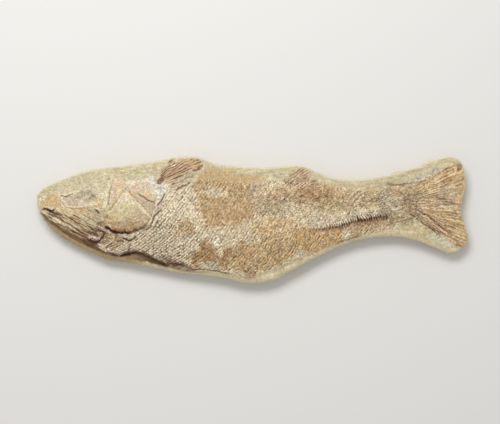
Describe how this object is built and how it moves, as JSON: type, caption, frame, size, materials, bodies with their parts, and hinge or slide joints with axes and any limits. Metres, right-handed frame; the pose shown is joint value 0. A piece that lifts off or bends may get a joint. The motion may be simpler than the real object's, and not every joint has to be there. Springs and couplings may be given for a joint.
{
  "type": "fossil fish slab",
  "caption": "Whole fossil fish in relief on a flat-backed limestone nodule trimmed to the fish's outline, lying flat for display or study.",
  "frame": {"origin": "middle of the slab's length and width, on its flat back", "axes": "+X from the snout to the tail, +Y towards the fish's back, +Z out of the face that shows the fish"},
  "size_m": [0.4319, 0.1272, 0.0297],
  "materials": {
    "limestone": "cream limestone, matt and finely grained",
    "fossil_scales": "mineralised scales, tan to cream, matt with a faint shine on the bosses",
    "fossil_bone": "mineralised bone, cream to orange brown, smooth and slightly waxy"
  },
  "bodies": {
    "root": {"fossil_slab": "limestone"}
  },
  "joints": []
}
